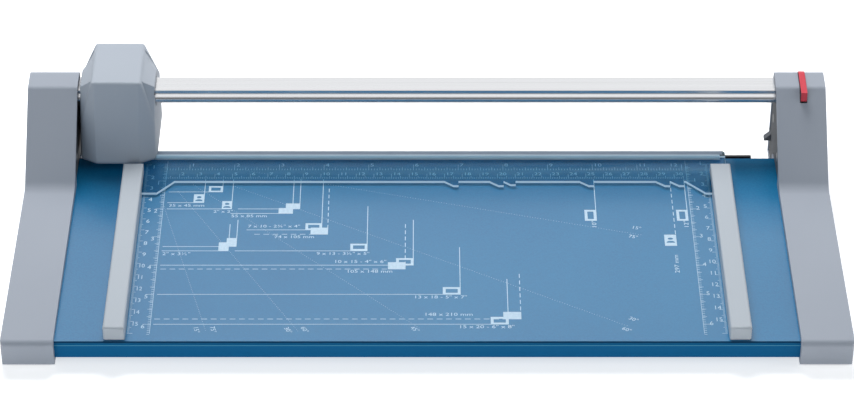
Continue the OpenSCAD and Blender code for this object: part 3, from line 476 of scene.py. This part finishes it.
def moulded(name, dark, pale, rough):
    made, tree, base = new_finish(name)
    grain = noise(tree, grain_scale, 2)
    feed(base, {
        "Base Color": two_tone(tree, noise(tree, tone_scale), dark, pale),
        "Roughness": spread(tree, grain, rough - grain_rough, rough + grain_rough),
        "Normal": dimpled(tree, grain, grain_deep, grain_share),
    })
    return made


dress(moulded("cap_grey", cap_dark, cap_pale, 0.55), "left_end_cap", "right_end_cap")

# Inner plates. Mouldings that close the inner side of each tower and leave the opening for the rail;
# countersunk screws hold them to the caps. They are given a grey far darker than the caps'.
plate_dark, plate_pale = (0.085, 0.092, 0.105), (0.105, 0.112, 0.125)
dress(moulded("plate_grey", plate_dark, plate_pale, 0.55), "left_inner_plate", "right_inner_plate")

# Rail plugs, spring cups and the head's carrier. Black mouldings: the plugs seat the rail in the
# towers, the cups hold the clamp springs below the table, and the carrier rides on the rail.
black_dark, black_pale = (0.030, 0.032, 0.036), (0.042, 0.044, 0.048)
dress(moulded("black_plastic", black_dark, black_pale, 0.5),
      "left_rail_plug", "right_rail_plug", "left_spring_cup", "right_spring_cup", "head_carrier")

# Feet and rollers. Black rubber, dull all over: the feet are pushed into pockets under the caps,
# and the rollers turn on pins in the head and press the clamp strip down as it passes.
rubber_dark, rubber_pale = (0.018, 0.018, 0.020), (0.028, 0.028, 0.030)
dress(moulded("black_rubber", rubber_dark, rubber_pale, 0.85), "feet", "left_roller", "right_roller")

# Liners. Bushes of pale acetal, a slippery plastic, one in each end of the carrier, where it
# slides on the rail. They are smooth, so that hardly any grain shows.
acetal_dark, acetal_pale = (0.70, 0.69, 0.64), (0.76, 0.75, 0.70)
dress(moulded("acetal", acetal_dark, acetal_pale, 0.4), "left_liner", "right_liner")

# Rail. Extruded aluminium, hollow, with a flat top, a step down, and a round bead along the front.
# It is satin anodised, and the die leaves faint streaks along it.
rail_dark, rail_pale = (0.77, 0.78, 0.80), (0.83, 0.84, 0.86)
along_rail, draw_deep, draw_share, draw_rough = (3, 900, 900), 0.000004, 0.5, 0.06
bead_y, bead_z, bead_r = 8.6, 48.3, 3.0
back_y, top_z, bottom_z, back_r = 20.8, 53.0, 45.6, 0.6
lip_y, lip_z, lip_r = 8.5, 53.1, 0.5
groove = [(8.0, 51.7), (8.0, 53.0)]
hollow = [(9.6, 46.6), (9.6, 52.0), (19.8, 52.0), (19.8, 46.6)]


def metal(name, dark, pale, rough, grain=along_rail):
    made, tree, base = new_finish(name)
    drawn = wired(tree, "ShaderNodeMapping", {
        "Scale": grain, "Vector": wired(tree, "ShaderNodeTexCoord", (), "Object"),
    }, "Vector")
    streak = wired(tree, "ShaderNodeTexNoise", {"Scale": 1, "Detail": 4, "Vector": drawn}, "Fac")
    feed(base, {
        "Metallic": 1, "Base Color": two_tone(tree, streak, dark, pale),
        "Roughness": spread(tree, streak, rough - draw_rough, rough + draw_rough),
        "Normal": dimpled(tree, streak, draw_deep, draw_share),
    })
    return made


def link_piece(name, sheet, made, body, sharp, *stands_for):
    bmesh.ops.recalc_face_normals(sheet, faces=sheet.faces)
    mesh = bpy.data.meshes.new(name)
    sheet.to_mesh(mesh)
    sheet.free()
    mesh.polygons.foreach_set("use_smooth", [True] * len(mesh.polygons))
    mesh.set_sharp_from_angle(angle=math.radians(sharp))
    mesh.materials.append(made)
    piece = bpy.data.objects.new(name, mesh)
    bpy.context.collection.objects.link(piece)
    flat = piece.modifiers.new("flat faces stay flat", "WEIGHTED_NORMAL")
    flat.keep_sharp = True
    piece.data = plain_mesh(piece)
    piece.modifiers.clear()
    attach(piece, body)
    if stands_for:
        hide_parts(*stands_for)
    return piece


rail_low, rail_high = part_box("guide_rail")
outside = (arc((bead_y, bead_z), bead_r, 270, 100, 30) + groove + arc((lip_y, lip_z), lip_r, 180, 90, 5)
           + arc((back_y, top_z), back_r, 90, 0, 5) + arc((back_y, bottom_z), back_r, 0, -90, 5))
sheet = bmesh.new()
ends = []
for x in (rail_low[0], rail_high[0]):
    rings = [[sheet.verts.new((x, cut_y + y / 1000, z / 1000)) for y, z in loop] for loop in (outside, hollow)]
    rims = [sheet.edges.new((ring[k - 1], ring[k])) for ring in rings for k in range(len(ring))]
    bmesh.ops.triangle_fill(sheet, edges=rims, use_beauty=True)
    ends.append(rings)
for near, far in zip(*ends):
    for k in range(len(near)):
        sheet.faces.new((near[k - 1], near[k], far[k], far[k - 1]))
anodised = metal("anodised_aluminium", rail_dark, rail_pale, 0.26)
link_piece("rail_profile", sheet, anodised, "base", 35, "guide_rail")

# Stops. Pale grey moulded bars square to the cut, screwed from below; the rear end of each bridges
# the clamp strip's tab. The upper edges and upright corners of the frame's are rounded here.
stop_dark, stop_pale = (0.445, 0.485, 0.530), (0.465, 0.505, 0.550)
stop_round, sharp_bend, on_face = 0.0011, 0.8, 1e-5


def merged(name):
    sheet = bmesh.new()
    sheet.from_mesh(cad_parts[name].data)
    bmesh.ops.remove_doubles(sheet, verts=sheet.verts, dist=1e-6)
    return sheet


def on_top(vert, low, high):
    return vert.co.z > high.z - on_face


def on_upright(vert, low, high):
    return all(min(vert.co[k] - low[k], high[k] - vert.co[k]) < on_face for k in (0, 1))


stop_grey = moulded("stop_grey", stop_dark, stop_pale, 0.45)
for name in ("left_stop", "right_stop"):
    low, high = (Vector(corner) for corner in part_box(name))
    sheet = merged(name)
    bmesh.ops.dissolve_limit(sheet, angle_limit=math.radians(1), verts=sheet.verts, edges=sheet.edges)
    rim = [edge for edge in sheet.edges if len(edge.link_faces) == 2 and edge.calc_face_angle() > sharp_bend
           and any(all(lies(vert, low, high) for vert in edge.verts) for lies in (on_top, on_upright))]
    bmesh.ops.bevel(sheet, geom=rim, offset=stop_round, segments=4, profile=0.5, affect="EDGES", clamp_overlap=True)
    link_piece(name + "_soft", sheet, stop_grey, "base", 35, name)

# Cutting bar. The lower knife, a ground steel bar blued against rust and screwed to the table's
# rear fold. The blade runs along its rear face.
blued_dark, blued_pale = (0.035, 0.037, 0.042), (0.055, 0.057, 0.062)
dress(metal("blued_steel", blued_dark, blued_pale, 0.42), "cutting_bar")

# Blade and hub. A round blade of hardened steel, flat towards the bar and ground to its edge
# behind, on a turned brass hub that runs on the axle.
blade_dark, blade_pale = (0.58, 0.59, 0.61), (0.66, 0.67, 0.69)
brass_dark, brass_pale = (0.62, 0.44, 0.17), (0.72, 0.52, 0.22)
dress(metal("ground_steel", blade_dark, blade_pale, 0.22, (1200, 1200, 40)), "blade")
dress(metal("turned_brass", brass_dark, brass_pale, 0.3, (40, 1500, 40)), "blade_hub")

# Screws, pins, axle and nut. Steel, zinc plated after it is cut and headed, which leaves an even
# soft sparkle. They hold the other parts together and are left as they come from the frame.
zinc_dark, zinc_pale = (0.46, 0.47, 0.49), (0.56, 0.57, 0.58)
dress(metal("zinc_plate", zinc_dark, zinc_pale, 0.35, (500, 500, 500)),
      "plate_screws", "table_screws", "stop_screws", "bar_screws", "rail_screw", "head_screws", "latch_pin",
      "roller_pins", "blade_axle", "axle_nut")

# Springs. Coiled steel wire. Those of the clamp and of the key are drawn at the length that they
# have when their part is pressed home, so that no coil runs into what presses it.
wire_dark, wire_pale = (0.50, 0.51, 0.53), (0.60, 0.61, 0.63)
clamp_travel, key_travel = 0.0007, 0.0022
spring_wire = metal("spring_wire", wire_dark, wire_pale, 0.28, (900, 900, 900))
dress(spring_wire, "blade_spring")
for name, coil, travel in (
    ("left_clamp_spring", "left_clamp_coil", clamp_travel), ("right_clamp_spring", "right_clamp_coil", clamp_travel),
    ("latch_spring", "latch_coil", key_travel),
):
    low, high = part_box(name)
    sheet = merged(name)
    for vert in sheet.verts:
        vert.co.z = low[2] + (vert.co.z - low[2]) * (high[2] - low[2] - travel) / (high[2] - low[2])
    link_piece(coil, sheet, spring_wire, "base", 60, name)

# Head. Two grey mouldings that meet at a seam behind the rail; the rear one is screwed to the
# carrier. The front one is faceted with soft edges: beside the rail a collar stands out of each
# sloping facet and leaves a valley for the thumb, and two bosses inside hold the rollers' pins.
head_dark, head_pale = (0.428, 0.466, 0.524), (0.448, 0.486, 0.544)
head_x, both_sides = -0.175, (-1, 1)
head_out, head_fore, head_aft, head_low, head_brow = 22.0, -13.2, 37.8, 19.9, 63.5
front_half, brow_half, brow_fore, crown_rise, rear_cut = 11.6, 14.5, 0.3, 2.9, 4.2
knee_fore, knee_z, shoulder_z, nape_z = -3.6, 38.7, 49.2, 50.8
shell_round, shell_wall, room_low, room_half = 2.2, 3.3, 5.0, 16.5
collar_corners = (
    (13.2, 4.4, 62.2), (13.0, 31.0, 63.0), (20.2, 7.0, 56.4), (20.2, 23.0, 56.4), (19.7, 31.0, 52.4),
    (20.0, -1.6, 39.6), (20.7, 3.0, 40.0), (20.6, 31.0, 41.0), (13.0, 10.0, 41.0), (13.0, 28.0, 41.0),
)
passage_y, passage_z, through = (6.6, 20.4), (46.0, 52.6), (-40, 40)
seam_y, seam_z = (32.5, 60.0), (-10, 90)
boss_x, boss_r, boss_front, boss_rear, roller_z = 13, 2.4, -10.3, -5.0, 0.02096


def shell_corners(inset, low):
    out, fore, aft, brow = head_out - inset, head_fore + inset, head_aft - inset, head_brow - inset
    foot = [(front_half, fore - 1.6), (out - 0.8, fore + 2.4), (out, fore + 7.2), (out, aft - rear_cut),
            (out - rear_cut, aft)]
    return [(x, y, low) for x, y in foot] + [
        (out - 0.9, knee_fore + inset, knee_z), (out, aft - rear_cut, shoulder_z), (out - rear_cut, aft, nape_z),
        (brow_half - inset, brow_fore + inset, brow), (brow_half - inset, aft, brow + crown_rise)]


def rounded_hull(name, corners, radius, steps=16):
    sheet = bmesh.new()
    for x, y, z in corners:
        for i in range(steps // 2 + 1):
            tilt = math.pi * i / (steps // 2) - math.pi / 2
            for k in range(steps if 0 < i < steps // 2 else 1):
                turn = 2 * math.pi * k / steps
                sheet.verts.new((head_x + (x + radius * math.cos(tilt) * math.cos(turn)) / 1000,
                                 cut_y + (y + radius * math.cos(tilt) * math.sin(turn)) / 1000,
                                 (z + radius * math.sin(tilt)) / 1000))
    bmesh.ops.remove_doubles(sheet, verts=sheet.verts, dist=1e-6)
    bmesh.ops.convex_hull(sheet, input=sheet.verts)
    bmesh.ops.delete(sheet, geom=[v for v in sheet.verts if not v.link_faces], context="VERTS")
    bmesh.ops.recalc_face_normals(sheet, faces=sheet.faces)
    mesh = bpy.data.meshes.new(name)
    sheet.to_mesh(mesh)
    sheet.free()
    made = bpy.data.objects.new(name, mesh)
    bpy.context.collection.objects.link(made)
    return made


def cut_or_join(target, tool, how):
    step = target.modifiers.new(how, "BOOLEAN")
    step.operation = how
    step.solver = "EXACT"
    step.object = tool
    mesh = plain_mesh(target)
    target.modifiers.clear()
    target.data = mesh
    bpy.data.objects.remove(tool)


shell = rounded_hull("shell", [(s * x, y, z) for x, y, z in shell_corners(shell_round, head_low) for s in both_sides],
                     shell_round, 24)
for s in both_sides:
    cut_or_join(shell, rounded_hull("collar", [(s * x, y, z) for x, y, z in collar_corners], 0.9, 12), "UNION")
for name, corners, radius, steps in (
    ("room", [(s * min(x, room_half), y, z) for x, y, z in shell_corners(shell_wall, room_low)
              for s in both_sides], 0.8, 16),
    ("passage", itertools.product(through, passage_y, passage_z), 2.0, 24),
    ("seam", itertools.product(through, seam_y, seam_z), 0.5, 8),
):
    cut_or_join(shell, rounded_hull(name, corners, radius, steps), "DIFFERENCE")
sheet = bmesh.new()
sheet.from_mesh(shell.data)
bpy.data.objects.remove(shell)
bmesh.ops.remove_doubles(sheet, verts=sheet.verts, dist=2e-6)
for s in both_sides:
    boss = bmesh.ops.create_cone(sheet, cap_ends=True, segments=24, radius1=boss_r / 1000, radius2=boss_r / 1000,
                                 depth=(boss_rear - boss_front) / 1000)
    bmesh.ops.transform(sheet, verts=boss["verts"], matrix=Matrix.Translation(
        (head_x + s * boss_x / 1000, cut_y + (boss_front + boss_rear) / 2000, roller_z))
        @ Matrix.Rotation(math.pi / 2, 4, "X"))
head_grey = moulded("head_grey", head_dark, head_pale, 0.5)
dress(head_grey, "head_back")
link_piece("head_shell", sheet, head_grey, "head", 32, "head_cover")

# Release key. A glossy red moulding from a polished tool, on a pin in the right tower; its hook
# holds the tongue of the rail's plug. Its sides stand close in their slot and are painted darker: painted shade of the
# slot.
red_dark, red_pale, red_side_shade = (0.60, 0.035, 0.060), (0.66, 0.045, 0.070), (0.05, 0.01, 0.015)
side_from, side_full = -3.0, 2.0
key_red = moulded("key_red", red_dark, red_pale, 0.3)
tree, base = key_red.node_tree, key_red.node_tree.nodes["Principled BSDF"]
# Faces turned sideways get a dark red: painted shade of the slot the key stands in.
facing_x, _, _ = split(tree, wired(tree, "ShaderNodeNewGeometry", (), "Normal"))
slot_shade = spread(tree, maths(tree, "ABSOLUTE", facing_x), side_from, side_full)
feed(base, {"Base Color": blended(tree, slot_shade, base.inputs["Base Color"].links[0].from_socket, (*red_side_shade, 1))})
dress(key_red, "rail_latch")

# Clamp strip. Clear acrylic, sawn to its saw-tooth outline and polished on top; the sawn edges are
# frosted, and a painted glow on them stands in for the light they pipe. Its ends are drawn out a little past the
# frame's, into the stops.
clear_dark, clear_pale = (0.55, 0.86, 0.985), (0.58, 0.88, 1.0)
sawn_dark, sawn_pale = (0.62, 0.72, 0.80), (0.70, 0.79, 0.86)
painted_glow_tint = (0.55, 0.80, 1.0, 1)
haze_scale, clear_ior = 60, 1.25
end_more, end_deep, upright, forward = 0.0033, 0.003, 0.5, 0.5


def acrylic(name, dark, pale, clearness, rough, glow):
    made, tree, base = new_finish(name)
    feed(base, {
        "Base Color": two_tone(tree, noise(tree, haze_scale), dark, pale), "Roughness": rough,
        "Transmission Weight": clearness, "IOR": clear_ior,
        "Emission Color": painted_glow_tint, "Emission Strength": glow,
    })
    return made


clear = acrylic("clear_acrylic", clear_dark, clear_pale, 1.0, 0.0, 0.0)
# The sawn faces are given an emission: painted glow in place of the light piped through the acrylic.
sawn = acrylic("sawn_acrylic_painted_glow", sawn_dark, sawn_pale, 0.0, 0.5, 0.26)
_, strip_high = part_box("clamp_strip")
sheet = merged("clamp_strip")
for vert in sheet.verts:
    if abs(vert.co.x) > strip_high[0] - end_deep:
        vert.co.x += math.copysign(end_more, vert.co.x)
strip = link_piece("strip_plate", sheet, clear, "clamp", 30, "clamp_strip")
strip.data.materials.append(sawn)
for face in strip.data.polygons:
    face.material_index = 1 if abs(face.normal.z) < upright and face.normal.y < forward else 0

# Bead of the strip. Thin bands level with the top of its rear rib, where the rollers run: milky on
# the rib, with a faint painted glow; frosted along the rib's front edge, where its glow is a painted highlight; and a
# faint veil in front of that.
milky_dark, milky_pale = (0.30, 0.36, 0.46), (0.36, 0.42, 0.52)
veil_dark, veil_pale = (0.60, 0.80, 0.92), (0.66, 0.86, 0.97)
band_t = 0.00004
# The milky band has a faint painted glow. The frosted band takes the sawn finish, whose glow is a painted highlight
# along the rib's front edge.
milky = acrylic("milky_acrylic_painted_glow", milky_dark, milky_pale, 0.15, 0.35, 0.03)
veil = acrylic("veiled_acrylic", veil_dark, veil_pale, 0.78, 0.3, 0.0)
sheet = bmesh.new()
for half, y0, y1, slot in ((168.3, -4.2, -0.7, 0), (166.8, -5.0, -4.2, 1), (166.8, -9.0, -5.0, 2)):
    band = bmesh.ops.create_cube(sheet, size=1.0)
    bmesh.ops.transform(sheet, verts=band["verts"], matrix=Matrix.Translation(
        (0, cut_y + (y0 + y1) / 2000, strip_high[2] + band_t / 2))
        @ Matrix.Diagonal((half / 500, (y1 - y0) / 1000, band_t, 1)))
    for face in {face for vert in band["verts"] for face in vert.link_faces}:
        face.material_index = slot
bead = link_piece("strip_bead", sheet, milky, "clamp", 35)
bead.data.materials.append(sawn)
bead.data.materials.append(veil)
